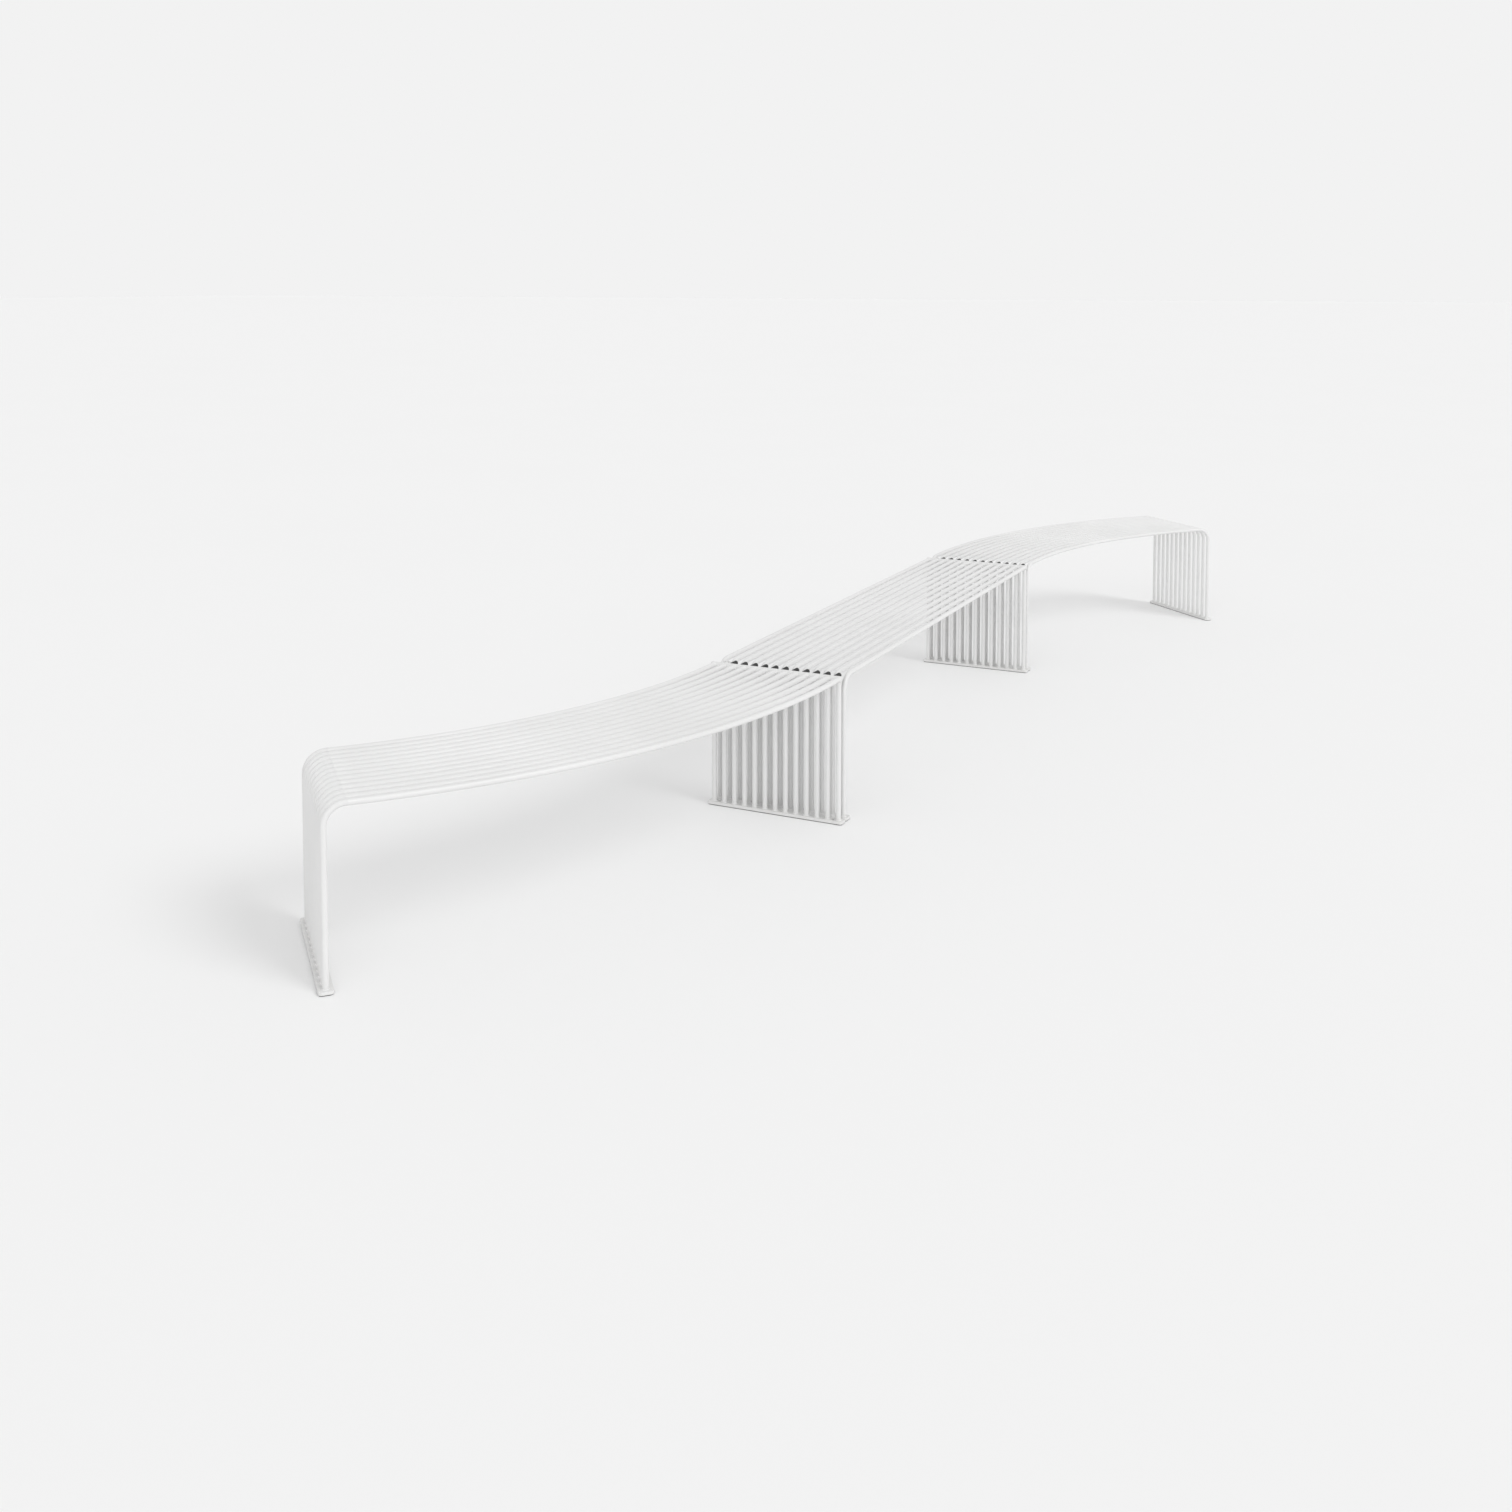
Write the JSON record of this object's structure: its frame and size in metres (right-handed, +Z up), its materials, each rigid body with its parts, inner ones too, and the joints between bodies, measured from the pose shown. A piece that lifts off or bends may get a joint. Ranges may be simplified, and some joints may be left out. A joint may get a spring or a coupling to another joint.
{
  "type": "garden bench",
  "caption": "Long S-shaped garden bench with curved and straight seats made of parallel round metal bars that bend down into legs on flat foot plates.",
  "frame": {"origin": "on the floor under the middle of the whole bench", "axes": "+X along the middle seat towards the right seat, +Z up"},
  "size_m": [5.2612, 1.5056, 0.451],
  "materials": {
    "white_powder_coat": "satin",
    "black_rubber": "matte",
    "stainless_screw": "brushed"
  },
  "bodies": {
    "root": {"left_rail_01": "white_powder_coat", "left_rail_02": "white_powder_coat", "left_rail_03": "white_powder_coat", "left_rail_04": "white_powder_coat", "left_rail_05": "white_powder_coat", "left_rail_06": "white_powder_coat", "left_rail_07": "white_powder_coat", "left_rail_08": "white_powder_coat", "left_rail_09": "white_powder_coat", "left_rail_10": "white_powder_coat", "left_rail_11": "white_powder_coat", "left_rail_12": "white_powder_coat", "left_rail_13": "white_powder_coat", "middle_rail_01": "white_powder_coat", "middle_rail_02": "white_powder_coat", "middle_rail_03": "white_powder_coat", "middle_rail_04": "white_powder_coat", "middle_rail_05": "white_powder_coat", "middle_rail_06": "white_powder_coat", "middle_rail_07": "white_powder_coat", "middle_rail_08": "white_powder_coat", "middle_rail_09": "white_powder_coat", "middle_rail_10": "white_powder_coat", "middle_rail_11": "white_powder_coat", "middle_rail_12": "white_powder_coat", "middle_rail_13": "white_powder_coat", "right_rail_01": "white_powder_coat", "right_rail_02": "white_powder_coat", "right_rail_03": "white_powder_coat", "right_rail_04": "white_powder_coat", "right_rail_05": "white_powder_coat", "right_rail_06": "white_powder_coat", "right_rail_07": "white_powder_coat", "right_rail_08": "white_powder_coat", "right_rail_09": "white_powder_coat", "right_rail_10": "white_powder_coat", "right_rail_11": "white_powder_coat", "right_rail_12": "white_powder_coat", "right_rail_13": "white_powder_coat", "left_end_bar": "white_powder_coat", "middle_end_bar": "white_powder_coat", "left_end_legs": "white_powder_coat", "middle_end_legs": "white_powder_coat", "left_foot_outer": "white_powder_coat", "left_foot_inner": "white_powder_coat", "middle_foot_left": "white_powder_coat", "middle_foot_right": "white_powder_coat", "right_foot_inner": "white_powder_coat", "right_foot_outer": "white_powder_coat", "foot_pads": "black_rubber", "buffers": "black_rubber", "link_bars": "white_powder_coat", "link_lugs": "white_powder_coat", "link_screws": "stainless_screw", "link_washers": "stainless_screw"}
  },
  "joints": []
}
